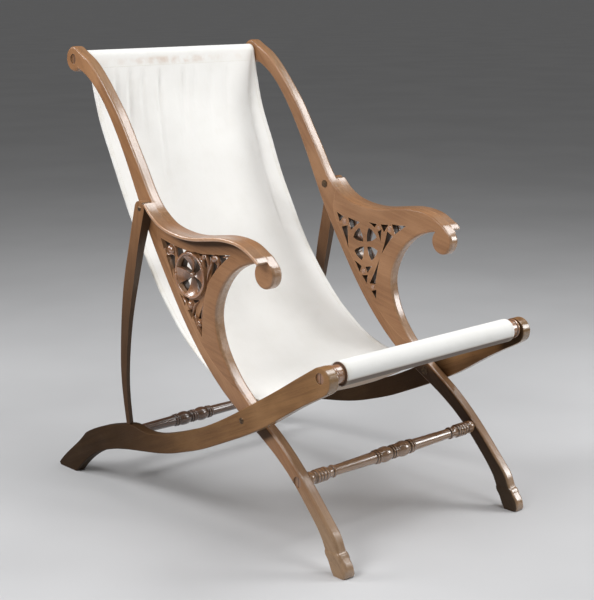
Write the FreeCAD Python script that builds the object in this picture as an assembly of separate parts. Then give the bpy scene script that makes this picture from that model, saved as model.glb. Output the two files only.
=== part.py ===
import FreeCAD
import Part
import math
import os

V = FreeCAD.Vector

# A folding campaign chair: two sawn side frames, a pivoted seat frame, two props and a canvas sling.
# Millimetres, +Z up, the sitter faces -Y, so the right-hand pieces lie at -X and the left-hand at +X.
# Outline points are (Y, Z) pairs in the plane of a side, with the floor at Z = 0.

# How far a cutting shape runs past what it cuts
OVERCUT = 1.0

# Layers across the chair
INNER_WIDTH = 480.0
FRAME_THICK = 25.0
WASHER_THICK = 1.0
RAIL_THICK = 24.0
STRUT_HEAD_THICK = 22.0
STRIP_WIDTH = 24.0

# Axes that run across the chair
PIVOT = (-197.0, 257.0)
STRUT_PIVOT = (122.0, 640.0)
CREST = (378.0, 935.0)
SEAT_RAIL = (-419.0, 388.0)
FRONT_STRETCHER = (-330.0, 159.0)
REAR_STRETCHER = (330.0, 85.0)

# Sawn boards
CREST_DISC_R = 27.0
SCROLL = (-238.0, 550.0)
SCROLL_R = 28.0
RAIL_END = (-419.0, 382.0)
RAIL_END_R = 27.0
STRUT_HEAD_R = 16.0
FRAME_ROUND = 5.5
RAIL_ROUND = 2.5
STRIP_DEPTH = 8.0
STRIP_ROUND = 3.2
STRIP_START = (103.0, 652.5)
STRIP_START_WAY = (-0.66, -0.75)
STRIP_STATIONS = 16
STRIP_HEAD_GAP = 2.0
STRIP_TIP = 6.5
STRIP_TIP_LONG = 62.0
STRIP_END_CUT = 9.0
STRIP_END_ROUND = 3.0
EDGE_SINK = 0.05
CREST_FRONT_TURN = 120.0
CREST_NOTCH_TURN = -128.0
SCROLL_TOP_TURN = 135.0
SCROLL_NOTCH_TURN = 402.0
STRUT_HEAD_TURN = 10.0

# Side frame outlines
ARM_START = (84.0, 634.0)
ARM_END = (-176.0, 298.0)
STILE_FRONT = [(121, 674), (147, 717), (180, 768), (213, 819), (247, 861), (281, 899), (316, 931)]
STILE_REAR = [(318, 890), (250, 815), (188, 710), (132, 600), (64, 490), (-4, 395), (-62, 332),
              (-117, 286), (-180, 247), (-248, 207), (-306, 163), (-362, 105), (-398, 57),
              (-405, 42), (-416, 23), (-428, 0)]
LEG_FRONT = [(-215, 268), (-256, 241), (-312, 197), (-365, 145), (-411, 95), (-432, 68), (-441, 48),
             (-450, 36), (-461, 21), (-463, 9), (-457, 0)]
GLUE_LINE = [(91, 607), (92, 580), (72, 543), (38, 490), (-30, 397), (-66, 360), (-112, 327)]
ARM_TOP = [(55, 616), (10, 604), (-40, 601), (-95, 607), (-145, 612), (-185, 609), (-212, 601), (-236, 588)]
ARM_UNDER = [(-180, 559), (-150, 543), (-122, 516), (-99, 476), (-92, 446), (-97, 408), (-118, 362),
             (-145, 327)]
ARM_START_WAY = (0.81, 0.586)
ARM_END_WAY = (-0.76, -0.65)

# Hoof sections from the ankle down: height, front, back, and half the width across the chair
HOOF = [(48, -439, -404, 12.0), (41, -447, -404, 14.2), (35, -450, -407, 14.4), (29, -453, -411, 13.6),
        (14, -461, -419, 14.2), (5, -462.5, -424.5, 14.4), (0, -459, -427, 13.8)]
HOOF_CORNER = 6.0

# Seat rail outlines
RAIL_BACK = [(463, 6), (418, 46), (376, 79), (349, 105)]
RAIL_TOP = [(349, 105), (312, 123), (262, 141), (214, 154), (172, 162), (142, 158.5), (108, 158),
            (66, 166), (0, 187), (-66, 212), (-131, 243), (-220, 293), (-311, 347)]
RAIL_UNDER = [(-393, 337), (-338, 305), (-281, 269), (-192, 222), (-129, 193), (-65, 165), (-14, 147),
              (37, 131), (107, 116), (180, 104), (237, 92), (276, 80), (316, 62), (354, 37), (394, 0)]
RAIL_SLOPE = 31.0
RAIL_FOOT_TIP = (458.0, 0.0)

# Prop strut outlines, bowed back between its pivot and the seat rail
STRUT_REAR = [(150, 603), (164, 553), (179, 500), (194, 425), (203, 345), (206, 279), (202, 225), (193, 167),
              (190, 150)]
STRUT_FRONT = [(116, 607), (127, 572), (138, 530), (149, 486), (168, 408), (182, 320), (187, 255), (181, 167),
               (179, 150)]
STRUT_HOLLOW = [(0, 608), (7, 500), (11, 400), (12, 150)]
STRUT_FOOT_GAP = 0.5

# Pierced panel
FRET_CENTRE = (-11.0, 516.0)
WHEEL_HOLE_R = 42.0
WHEEL_RING_R = 48.0
WHEEL_HUB_R = 8.0
PETAL_FIRST = 38.0
PETAL_HALF = 23.0
PETAL_SHORT = 2.0
PETAL_BOW = 0.08
PETALS = 4
FRET_RECESS = 8.0
WELL_DEEP = 12.0
FRET_TOP = [(84, 582), (25, 570), (-35, 565), (-90, 569), (-143, 576)]
FRET_FRONT = [(-143, 576), (-98, 540), (-70, 506), (-57, 470), (-50, 432), (-48, 392)]
FRET_BACK = [(-48, 392), (-5, 448), (45, 522), (84, 582)]
DARTS = [((82, 580), (59, 571), (72, 557)), ((66, 547), (45, 553), (43, 499)),
         ((45, 571), (7, 564), (36, 542)), ((-20, 568), (-47, 566), (-40, 557)),
         ((-49, 549), (-62, 557), (-59, 527)), ((-58, 567), (-83, 569), (-69, 549)),
         ((-92, 571), (-138, 573), (-103, 549)), ((-79, 554), (-96, 544), (-61, 498)),
         ((24, 475), (0, 464), (6, 448)), ((-11, 464), (-32, 468), (-19, 450)),
         ((-1, 443), (-20, 446), (-16, 425)), ((-57, 491), (-44, 428), (-25, 427)),
         ((-31, 411), (-47, 416), (-46.5, 394))]
DART_HOLLOW = 0.02

# Turned cross pieces
TENON_R = 11.0
TENON_SETBACK = 3.0
CREST_RAIL_R = 15.0
SEAT_BARREL_R = 22.0
SEAT_NECK_R = 18.5
SEAT_NECK_LONG = 17.0
SEAT_COLLAR_R = 20.5
SEAT_COLLAR_LONG = 8.0
BLIND_TENON_LONG = 18.0
WEDGE_THICK = 3.0
WEDGE_POINT = 1.0
WEDGE_SETBACK = 3.0

# Turned profiles: distance, radius, and how far the way to that point bows out.
# The vase between its rings is measured from the middle, the reeded end inwards from the shoulder.
VASE_PROFILE = [(0, 14.5, 0), (3, 14, 0.5), (4, 12.5, 0), (9, 13, 1.5), (10, 12, 0), (42, 12.5, 4),
                (43, 13.5, 0), (49, 13.5, 1.5), (50, 13, 0), (56, 13, 1.5), (57, 12.5, 0)]
REED_PROFILE = [(72, 10.5, 0), (71, 11.5, 0), (65, 11.5, 1.5), (64, 11, 0), (50, 13, -1)]
END_PROFILE = [(14, 11.5, -0.8), (0, 13, 1.5)]
REEDS = 4
REED_PITCH = 8.0
REED_GROOVE = 1.0
REED_BOW = 1.2

# Rivets, roves, dowels and pins
PIVOT_SHANK_R = 4.0
PIVOT_HEAD_R = 6.5
STRUT_SHANK_R = 3.5
STRUT_HEAD_CAP_R = 5.5
RIVET_HEAD_TALL = 2.5
ROVE_EXTRA_R = 5.0
ROVE_THICK = 1.5
WASHER_EXTRA_R = 7.0
RUNNING_GAP = 0.05
DOWEL_R = 4.0
DOWEL_DEEP = 15.0
DOWEL_PLACES = [(91.5, 604), (-54.5, 371), (-93.0, 340)]
PIN_R = 2.0
PIN_DEEP = 12.0
PIN_STATIONS = [(55, 616), (-40, 601), (-145, 612)]

# Canvas sling
CANVAS_THICK = 2.0
SLING_TOP_CLEAR = 4.0
SLING_SEAT_CLEAR = 1.0
SLING_DRAW_IN = 8.0
SLEEVE_GAP = 0.3
SLING_DISH = 32.0
LEAST_DISH = 0.6
DISH_SKEW = 2.2
SLING_SECTIONS = 15
SLING_SIDE = [(352, 885), (335, 820), (297, 734), (257, 650), (212, 569), (150, 474), (84, 397), (17, 341),
              (-45, 306), (-105, 289), (-165, 285), (-205, 291), (-250, 308), (-300, 336), (-350, 368)]
CREST_HANG_DEGREES = 170.0
SEAT_HANG_DEGREES = 60.0
SPLIT_R = 60.0

FRAME_IN = INNER_WIDTH / 2
FRAME_OUT = FRAME_IN + FRAME_THICK
LAYER_IN = FRAME_OUT + WASHER_THICK
RAIL_OUT = LAYER_IN + RAIL_THICK
STRUT_OUT = LAYER_IN + STRUT_HEAD_THICK
FRAME_MIDDLE = FRAME_IN + FRAME_THICK / 2
NECK_END = LAYER_IN - SEAT_COLLAR_LONG
NECK_START = NECK_END - SEAT_NECK_LONG
SLING_TOP_HALF = FRAME_IN - SLING_TOP_CLEAR
SLING_SEAT_HALF = NECK_START - SLING_SEAT_CLEAR


def at(point, x=0.0):
    return V(x, point[0], point[1])


def line(first, last):
    return Part.makeLine(at(first), at(last))


def arc(first, middle, last):
    return Part.Arc(at(first), at(middle), at(last)).toShape()


def on_circle(centre, radius, degrees):
    turn = math.radians(degrees)
    return (centre[0] + radius * math.cos(turn), centre[1] + radius * math.sin(turn))


def arc_about(centre, radius, first_turn, last_turn):
    turns = (first_turn, (first_turn + last_turn) / 2, last_turn)
    return arc(*[on_circle(centre, radius, turn) for turn in turns])


def curve(points, first_way=None, last_way=None):
    # A smooth edge through the points, with its direction fixed at an end where one is given
    ways = [V(0, 0, 0) for point in points]
    fixed = [False for point in points]
    for index, way in ((0, first_way), (-1, last_way)):
        if way is not None:
            ways[index] = at(way)
            fixed[index] = True
    spline = Part.BSplineCurve()
    places = [at(point) for point in points]
    if any(fixed):
        spline.interpolate(Points=places, Tangents=ways, TangentFlags=fixed)
    else:
        spline.interpolate(Points=places)
    return spline.toShape()


def board(edges, x_from, x_to):
    face = Part.Face(Part.Wire(Part.__sortEdges__(edges)))
    face.translate(V(x_from, 0, 0))
    return face.extrude(V(x_to - x_from, 0, 0))


def middle_of(edge):
    return edge.valueAt((edge.FirstParameter + edge.LastParameter) / 2)


def soften(solid, outline, radius, faces_x):
    # Rounds the edges that the outline pieces make on the faces at the given X places, face by face
    wanted = [middle_of(edge) for edge in outline]
    for face_x in faces_x:
        picked = []
        for edge in solid.Edges:
            spot = middle_of(edge)
            near = [math.hypot(spot.y - want.y, spot.z - want.z) for want in wanted]
            if abs(spot.x - face_x) < 0.01 and min(near) < 0.05:
                picked.append(edge)
        solid = solid.makeFillet(radius, picked)
    return solid


def rod(radius, x_from, x_to, centre):
    return Part.makeCylinder(radius, x_to - x_from, at(centre, x_from), V(1, 0, 0))


def other_side(shape):
    return shape.mirror(V(0, 0, 0), V(1, 0, 0))


def both_sides(shapes):
    return Part.makeCompound(list(shapes) + [other_side(shape) for shape in shapes])


def bend_between(first, last, hollow):
    # An arc from first to last that bows to its left by a share of its length
    reach = (last[0] - first[0], last[1] - first[1])
    middle = ((first[0] + last[0]) / 2 - reach[1] * hollow, (first[1] + last[1]) / 2 + reach[0] * hollow)
    return arc(first, middle, last)


# The curves that the stile, the arm panel and the planted strip share
crest_front = on_circle(CREST, CREST_DISC_R, CREST_FRONT_TURN)
crest_notch = on_circle(CREST, CREST_DISC_R, CREST_NOTCH_TURN)
scroll_top = on_circle(SCROLL, SCROLL_R, SCROLL_TOP_TURN)
scroll_notch = on_circle(SCROLL, SCROLL_R, SCROLL_NOTCH_TURN)
crest_way = on_circle((0, 0), 1, CREST_FRONT_TURN - 90)
scroll_way = on_circle((0, 0), 1, SCROLL_TOP_TURN + 90)
back_way = (-ARM_START_WAY[0], -ARM_START_WAY[1])
glue_edge = curve([ARM_START] + GLUE_LINE + [ARM_END])
arm_top_edge = curve([ARM_START] + ARM_TOP + [scroll_top], back_way, scroll_way)
strip_top_edge = curve([STRIP_START, ARM_START] + ARM_TOP + [scroll_top], STRIP_START_WAY, scroll_way)


def wedge_and_slot(centre, tenon_r, x_shoulder, x_end):
    # A thin hardwood wedge driven into the saw kerf at the end of a round through tenon
    half_out = WEDGE_THICK / 2
    half_in = WEDGE_POINT / 2
    x_start = x_shoulder + WEDGE_SETBACK
    corners = [(x_start, -half_in), (x_end, -half_out), (x_end, half_out), (x_start, half_in)]
    points = [V(x, centre[0] + y, centre[1] - tenon_r) for x, y in corners]
    slot = Part.Face(Part.makePolygon(points + points[:1])).extrude(V(0, 0, 2 * tenon_r))
    return slot.common(rod(tenon_r, x_shoulder, x_end, centre))


def below_strip_top(depth):
    # Places at an even depth under the top of the planted strip
    spline = strip_top_edge.Curve
    first, last = strip_top_edge.ParameterRange
    places = []
    for index in range(STRIP_STATIONS):
        spot = first + (last - first) * index / (STRIP_STATIONS - 1)
        along = spline.tangent(spot)[0]
        place = spline.value(spot) + V(0, -along.z, along.y) * depth
        places.append((place.y, place.z))
    return places


def square_corner(blank):
    # The corner of a board that stays square where the strip is planted against it
    high = below_strip_top(EDGE_SINK)
    low = below_strip_top(FRAME_ROUND + OVERCUT)
    edges = [curve(high), curve(low), line(high[0], low[0]), line(high[-1], low[-1])]
    return board(edges, FRAME_OUT - FRAME_ROUND, FRAME_OUT).common(blank)


def make_stile_leg():
    # Back stile and front leg sawn in one S-curved piece, with a scroll at the crest and a hoof foot
    front = curve([ARM_START] + STILE_FRONT + [crest_front], ARM_START_WAY, crest_way)
    disc = arc_about(CREST, CREST_DISC_R, CREST_FRONT_TURN, CREST_NOTCH_TURN)
    rear = curve([crest_notch] + STILE_REAR)
    sole = line(STILE_REAR[-1], LEG_FRONT[-1])
    leg = curve([ARM_END] + LEG_FRONT, ARM_END_WAY)
    blank = board([front, disc, rear, sole, leg, glue_edge], FRAME_IN, FRAME_OUT)
    solid = soften(blank, [front, disc, rear, leg], FRAME_ROUND, (FRAME_IN, FRAME_OUT))
    solid = solid.fuse(square_corner(blank)).fuse(make_hoof())
    solid = solid.cut(rod(TENON_R, FRAME_IN - OVERCUT, FRAME_OUT + OVERCUT, CREST))
    solid = solid.cut(rod(TENON_R, FRAME_IN - OVERCUT, FRAME_OUT + OVERCUT, FRONT_STRETCHER))
    solid = solid.cut(rod(PIVOT_SHANK_R, FRAME_IN - OVERCUT, FRAME_OUT + OVERCUT, PIVOT))
    solid = solid.cut(rod(STRUT_SHANK_R, FRAME_IN - OVERCUT, FRAME_OUT + OVERCUT, STRUT_PIVOT))
    for dowel in dowels():
        solid = solid.cut(dowel)
    return solid


def make_hoof():
    # Carved foot with a swelling at the ankle, drawn through rounded sections
    wires = []
    for z, front, back, half in HOOF:
        x_low = FRAME_MIDDLE - half
        x_high = FRAME_MIDDLE + half
        corners = [(x_low, front), (x_high, front), (x_high, back), (x_low, back)]
        edges = []
        ends = []
        for index, (x, y) in enumerate(corners):
            before = V(*corners[index - 1], 0) - V(x, y, 0)
            after = V(*corners[(index + 1) % 4], 0) - V(x, y, 0)
            corner = V(x, y, z)
            start = corner + before.normalize() * HOOF_CORNER
            end = corner + after.normalize() * HOOF_CORNER
            centre = start + end - corner
            edges.append(Part.Arc(start, centre + (corner - centre).normalize() * HOOF_CORNER, end).toShape())
            ends.append((start, end))
        for index in range(4):
            edges.append(Part.makeLine(ends[index][1], ends[(index + 1) % 4][0]))
        wires.append(Part.Wire(Part.__sortEdges__(edges)))
    return Part.makeLoft(wires, True, False)


def dowels():
    # Hidden dowels across the glued joint between the stile and the arm panel
    made = []
    for place in DOWEL_PLACES:
        start = V(FRAME_MIDDLE, place[0] - DOWEL_DEEP, place[1])
        made.append(Part.makeCylinder(DOWEL_R, 2 * DOWEL_DEEP, start, V(0, 1, 0)))
    return made


def pins():
    # Blind pins that locate the planted strip on the outside of the arm
    made = []
    for place in PIN_STATIONS:
        centre = (place[0], place[1] - STRIP_DEPTH / 2)
        made.append(rod(PIN_R, FRAME_OUT - PIN_DEEP, FRAME_OUT + PIN_DEEP, centre))
    return made


def petal(turn):
    # One opening of the wheel, from the hub to the ring
    tip = on_circle(FRET_CENTRE, WHEEL_HUB_R, turn)
    reach = WHEEL_HOLE_R - PETAL_SHORT
    first = on_circle(FRET_CENTRE, reach, turn - PETAL_HALF)
    last = on_circle(FRET_CENTRE, reach, turn + PETAL_HALF)
    outer = arc_about(FRET_CENTRE, reach, turn - PETAL_HALF, turn + PETAL_HALF)
    edges = [bend_between(tip, first, -PETAL_BOW), outer, bend_between(last, tip, -PETAL_BOW)]
    return board(edges, FRAME_IN - OVERCUT, FRAME_OUT + OVERCUT)


def dart(corners):
    # A small three-cornered piercing with hollow sides
    first, second, third = corners
    turn = (second[0] - first[0]) * (third[1] - first[1]) - (second[1] - first[1]) * (third[0] - first[0])
    hollow = math.copysign(DART_HOLLOW, turn)
    edges = [bend_between(a, b, hollow) for a, b in ((first, second), (second, third), (third, first))]
    return board(edges, FRAME_IN - OVERCUT, FRAME_OUT + OVERCUT)


def make_arm_panel():
    # Arm, scrolled hand rest and pierced bracket sawn from one board and glued to the stile
    scroll = arc_about(SCROLL, SCROLL_R, SCROLL_TOP_TURN, SCROLL_NOTCH_TURN)
    under = curve([scroll_notch] + ARM_UNDER + [ARM_END], None, ARM_END_WAY)
    blank = board([arm_top_edge, scroll, under, glue_edge], FRAME_IN, FRAME_OUT)
    solid = soften(blank, [arm_top_edge, scroll, under], FRAME_ROUND, (FRAME_IN, FRAME_OUT))
    solid = solid.fuse(square_corner(blank))
    ground = FRAME_OUT - FRET_RECESS
    recess = board([curve(FRET_TOP), curve(FRET_FRONT), curve(FRET_BACK)], ground, FRAME_OUT + OVERCUT)
    wheel_rim = ring(WHEEL_HOLE_R, WHEEL_RING_R, ground, FRAME_OUT + OVERCUT, FRET_CENTRE)
    solid = solid.cut(recess.cut(wheel_rim))
    solid = solid.cut(rod(WHEEL_HOLE_R, FRAME_OUT - WELL_DEEP, FRAME_OUT + OVERCUT, FRET_CENTRE))
    for index in range(PETALS):
        solid = solid.cut(petal(PETAL_FIRST + index * 360 / PETALS))
    for corners in DARTS:
        solid = solid.cut(dart(corners))
    for hole in dowels() + pins():
        solid = solid.cut(hole)
    return solid


def make_arm_strip():
    # Moulding planted on the outside of the arm to widen it, tapering to a blunt end on the scroll
    low = below_strip_top(STRIP_DEPTH)
    under = curve(low)
    edges = [strip_top_edge, under, line(STRIP_START, low[0]), line(scroll_top, low[-1])]
    strip_out = FRAME_OUT + STRIP_WIDTH
    solid = board(edges, FRAME_OUT, strip_out)
    solid = soften(solid, [strip_top_edge, under], STRIP_ROUND, (strip_out,))
    head_room = STRUT_HEAD_R + STRIP_HEAD_GAP
    solid = solid.cut(rod(head_room, FRAME_OUT - OVERCUT, strip_out + OVERCUT, STRUT_PIVOT))
    tip = on_circle(SCROLL, SCROLL_R - STRIP_TIP, SCROLL_TOP_TURN)
    spot = under.getParameterByLength(under.Length - STRIP_TIP_LONG)
    heel = under.valueAt(spot)
    corners = [(heel.y, heel.z), tip, (tip[0] - STRIP_DEPTH, tip[1]), (tip[0], tip[1] - 2 * STRIP_DEPTH)]
    corners.append((heel.y, tip[1] - 2 * STRIP_DEPTH))
    sides = [line(a, b) for a, b in zip(corners, corners[1:] + corners[:1])]
    solid = solid.cut(board(sides, FRAME_OUT - OVERCUT, strip_out + OVERCUT))
    spot = strip_top_edge.getParameterByLength(strip_top_edge.Length - STRIP_END_CUT)
    ahead = strip_top_edge.tangentAt(spot) * (2 * STRIP_DEPTH)
    rise = V(0, ahead.z, -ahead.y)
    place = strip_top_edge.valueAt(spot)
    corners = [place + rise, place - rise, place - rise + ahead, place + rise + ahead]
    waste = Part.Face(Part.makePolygon(corners + corners[:1])).extrude(V(strip_out + OVERCUT, 0, 0))
    solid = solid.cut(waste)
    nose = []
    for edge in solid.Edges:
        middle = middle_of(edge)
        if math.hypot(middle.y - place.y, middle.z - place.z) < 0.05:
            nose.append(edge)
    solid = solid.makeFillet(STRIP_END_ROUND, nose)
    for pin in pins():
        solid = solid.cut(pin)
    return solid


def make_seat_rail():
    # Seat rail and rear leg sawn in one piece, pivoted on the outside of the side frame
    end_top = on_circle(RAIL_END, RAIL_END_R, 90 - RAIL_SLOPE)
    end_low = on_circle(RAIL_END, RAIL_END_R, 270 - RAIL_SLOPE)
    forward = math.radians(180 - RAIL_SLOPE)
    way = (math.cos(forward), math.sin(forward))
    top = curve(RAIL_TOP + [end_top], None, way)
    nose = arc(end_top, on_circle(RAIL_END, RAIL_END_R, 180 - RAIL_SLOPE), end_low)
    under = curve([end_low] + RAIL_UNDER, (-way[0], -way[1]))
    back = curve(RAIL_BACK)
    sole = line(RAIL_UNDER[-1], RAIL_FOOT_TIP)
    tip = line(RAIL_FOOT_TIP, RAIL_BACK[0])
    solid = board([top, nose, under, sole, tip, back], LAYER_IN, RAIL_OUT)
    solid = soften(solid, [top, nose, under], RAIL_ROUND, (LAYER_IN, RAIL_OUT))
    solid = solid.cut(rod(TENON_R, LAYER_IN - OVERCUT, RAIL_OUT + OVERCUT, SEAT_RAIL))
    solid = solid.cut(rod(TENON_R, LAYER_IN - OVERCUT, LAYER_IN + BLIND_TENON_LONG, REAR_STRETCHER))
    return solid.cut(rod(PIVOT_SHANK_R + RUNNING_GAP, LAYER_IN - OVERCUT, RAIL_OUT + OVERCUT, PIVOT))


def make_strut():
    # Bowed prop, hollowed on its inner side from a thick head to the thin foot that stands on the seat rail
    head_front = on_circle(STRUT_PIVOT, STRUT_HEAD_R, STRUT_HEAD_TURN + 180)
    head_rear = on_circle(STRUT_PIVOT, STRUT_HEAD_R, STRUT_HEAD_TURN)
    head = arc_about(STRUT_PIVOT, STRUT_HEAD_R, STRUT_HEAD_TURN + 180, STRUT_HEAD_TURN)
    rear = curve([head_rear] + STRUT_REAR)
    front = curve([head_front] + STRUT_FRONT)
    foot = line(STRUT_FRONT[-1], STRUT_REAR[-1])
    solid = board([head, rear, foot, front], LAYER_IN, STRUT_OUT)
    solid = solid.cut(rod(STRUT_SHANK_R + RUNNING_GAP, LAYER_IN - OVERCUT, STRUT_OUT + OVERCUT, STRUT_PIVOT))
    box = solid.BoundBox
    places = [V(LAYER_IN + deep, box.YMin - OVERCUT, z) for deep, z in STRUT_HOLLOW]
    hollow = Part.BSplineCurve()
    hollow.interpolate(Points=places)
    outside = V(places[0].x - OVERCUT, places[0].y, places[-1].z - OVERCUT)
    below = V(places[-1].x, places[0].y, outside.z)
    above = V(outside.x, places[0].y, places[0].z)
    edges = [hollow.toShape(), Part.makeLine(places[-1], below), Part.makeLine(below, outside)]
    edges += [Part.makeLine(outside, above), Part.makeLine(above, places[0])]
    waste = Part.Face(Part.Wire(Part.__sortEdges__(edges)))
    return solid.cut(waste.extrude(V(0, box.YLength + 2 * OVERCUT, 0)))


def turned(profile, centre):
    # A turning about the X axis, the same on both sides of its middle.
    # Each profile entry is distance from the middle, radius, and how far the way to it bows out.
    edges = []
    for (x0, r0, skip), (x1, r1, bow) in zip(profile, profile[1:]):
        first = V(x0, 0, r0)
        last = V(x1, 0, r1)
        if bow:
            long = math.hypot(x1 - x0, r1 - r0)
            out = V((r0 - r1) / long * bow, 0, (x1 - x0) / long * bow)
            edges.append(Part.Arc(first, (first + last) * 0.5 + out, last).toShape())
        else:
            edges.append(Part.makeLine(first, last))
    tip = V(profile[-1][0], 0, 0)
    edges.append(Part.makeLine(V(profile[-1][0], 0, profile[-1][1]), tip))
    edges = edges + [other_side(edge) for edge in edges]
    edges.append(Part.makeLine(tip, other_side(Part.Vertex(tip)).Point))
    face = Part.Face(Part.Wire(Part.__sortEdges__(edges)))
    solid = face.revolve(V(0, 0, 0), V(1, 0, 0), 360)
    solid.translate(at(centre))
    return solid


def stretcher_profile(shoulder, end):
    # Vase between rings in the middle, long plain shaft, reeded barrel, then the tenon
    profile = list(VASE_PROFILE)
    profile += [(shoulder - back, radius, bow) for back, radius, bow in REED_PROFILE]
    start, radius = profile[-1][:2]
    for reed in range(1, REEDS + 1):
        profile.append((start + reed * REED_PITCH - REED_GROOVE, radius, REED_BOW))
        profile.append((start + reed * REED_PITCH, radius, 0))
    profile += [(shoulder - back, radius, bow) for back, radius, bow in END_PROFILE]
    return profile + [(shoulder, TENON_R, 0), (end, TENON_R, 0)]


def sling_side():
    # Side line of the sling from the crest sleeve to the seat sleeve
    crest_wall = CREST_RAIL_R + SLEEVE_GAP + CANVAS_THICK / 2
    seat_wall = SEAT_BARREL_R + SLEEVE_GAP + CANVAS_THICK / 2
    start = on_circle(CREST, crest_wall, CREST_HANG_DEGREES)
    end = on_circle(SEAT_RAIL, seat_wall, 90 - SEAT_HANG_DEGREES)
    return curve([start] + SLING_SIDE + [end])


def sling_sheet():
    # The dished sheet, drawn through sections across the chair
    side = sling_side()
    wires = []
    for index in range(SLING_SECTIONS):
        share = index / (SLING_SECTIONS - 1)
        spot = side.getParameterByLength(share * side.Length)
        place = side.valueAt(spot)
        down = V(1, 0, 0).cross(side.tangentAt(spot))
        dish = LEAST_DISH + SLING_DISH * math.sin(math.pi * share ** DISH_SKEW) ** 2
        half = SLING_TOP_HALF + (SLING_SEAT_HALF - SLING_TOP_HALF) * share
        half -= SLING_DRAW_IN * math.sin(math.pi * share)
        rows = []
        for drop in (-CANVAS_THICK / 2, CANVAS_THICK / 2):
            left = place + V(-half, 0, 0) + down * drop
            middle = place + down * (drop + dish)
            right = place + V(half, 0, 0) + down * drop
            rows.append((left, middle, right))
        upper, lower = rows
        wires.append(Part.Wire([Part.Arc(*upper).toShape(), Part.makeLine(upper[2], lower[2]),
                                Part.Arc(*reversed(lower)).toShape(), Part.makeLine(lower[0], upper[0])]))
    return Part.makeLoft(wires, True, False)


def split_zone(radius):
    # Everything in front of the pivot line, with a round heel about the pivot so that the seat can turn
    reach = 2 * FRAME_OUT
    front = Part.makeBox(reach, reach, 2 * CREST[1], V(-FRAME_OUT, PIVOT[0] - reach, 0))
    return front.fuse(rod(radius, -FRAME_OUT, FRAME_OUT, PIVOT))


def make_sling():
    sheet = sling_sheet()
    crest_r = CREST_RAIL_R + SLEEVE_GAP
    seat_r = SEAT_BARREL_R + SLEEVE_GAP
    back = sheet.cut(split_zone(SPLIT_R + SLEEVE_GAP)).cut(rod(crest_r, -FRAME_OUT, FRAME_OUT, CREST))
    seat = sheet.common(split_zone(SPLIT_R)).cut(rod(seat_r, -FRAME_OUT, FRAME_OUT, SEAT_RAIL))
    back = back.fuse(ring(crest_r, crest_r + CANVAS_THICK, -SLING_TOP_HALF, SLING_TOP_HALF, CREST))
    seat = seat.fuse(ring(seat_r, seat_r + CANVAS_THICK, -SLING_SEAT_HALF, SLING_SEAT_HALF, SEAT_RAIL))
    return back, seat


def rivet(shank_r, head_r, centre, x_head):
    # Shank from the rove inside the frame to a low domed head outside the moving piece
    x_end = FRAME_IN - ROVE_THICK
    shank = rod(shank_r, x_end, x_head, centre)
    dome_r = (head_r ** 2 + RIVET_HEAD_TALL ** 2) / (2 * RIVET_HEAD_TALL)
    ball = Part.makeSphere(dome_r, at(centre, x_head + RIVET_HEAD_TALL - dome_r))
    return shank.fuse(ball.common(rod(head_r + OVERCUT, x_head, x_head + 2 * RIVET_HEAD_TALL, centre)))


def ring(inner_r, outer_r, x_from, x_to, centre):
    return rod(outer_r, x_from, x_to, centre).cut(rod(inner_r, x_from - OVERCUT, x_to + OVERCUT, centre))


def save(name, shape):
    for solid in shape.Solids:
        if not solid.isValid():
            print("not valid:", name)
    print(name, len(shape.Solids), round(shape.Volume / 1000, 1), "cm3")
    shape.exportStep("parts/" + name + ".step")


os.makedirs("parts", exist_ok=True)

stile = make_stile_leg()
panel = make_arm_panel()
strip = make_arm_strip()
rail = make_seat_rail()
strut = make_strut().cut(rail.translated(V(0, 0, STRUT_FOOT_GAP)))
for name, piece in (("stile_leg", stile), ("arm_panel", panel), ("arm_strip", strip), ("seat_rail", rail),
                    ("prop_strut", strut)):
    save("left_" + name, piece)
    save("right_" + name, other_side(piece))

frame_tenon_end = FRAME_OUT - TENON_SETBACK
seat_tenon_end = RAIL_OUT - TENON_SETBACK
crest_wedge = wedge_and_slot(CREST, TENON_R, FRAME_IN, frame_tenon_end)
front_wedge = wedge_and_slot(FRONT_STRETCHER, TENON_R, FRAME_IN, frame_tenon_end)
seat_wedge = wedge_and_slot(SEAT_RAIL, TENON_R, LAYER_IN, seat_tenon_end)
frame_wedges = both_sides([crest_wedge, front_wedge])
seat_wedges = both_sides([seat_wedge])

crest_profile = [(0, CREST_RAIL_R, 0), (FRAME_IN, CREST_RAIL_R, 0), (FRAME_IN, TENON_R, 0),
                 (frame_tenon_end, TENON_R, 0)]
seat_profile = [(0, SEAT_BARREL_R, 0), (NECK_START, SEAT_BARREL_R, 0), (NECK_START, SEAT_NECK_R, 0),
                (NECK_END, SEAT_NECK_R, 0), (LAYER_IN, SEAT_NECK_R, SEAT_COLLAR_R - SEAT_NECK_R),
                (LAYER_IN, TENON_R, 0), (seat_tenon_end, TENON_R, 0)]
save("crest_rail", turned(crest_profile, CREST).cut(frame_wedges))
front_profile = stretcher_profile(FRAME_IN, frame_tenon_end)
save("front_stretcher", turned(front_profile, FRONT_STRETCHER).cut(frame_wedges))
save("seat_front_rail", turned(seat_profile, SEAT_RAIL).cut(seat_wedges))
save("rear_stretcher", turned(stretcher_profile(LAYER_IN, LAYER_IN + BLIND_TENON_LONG), REAR_STRETCHER))
save("frame_tenon_wedges", frame_wedges)
save("seat_tenon_wedges", seat_wedges)

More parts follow.
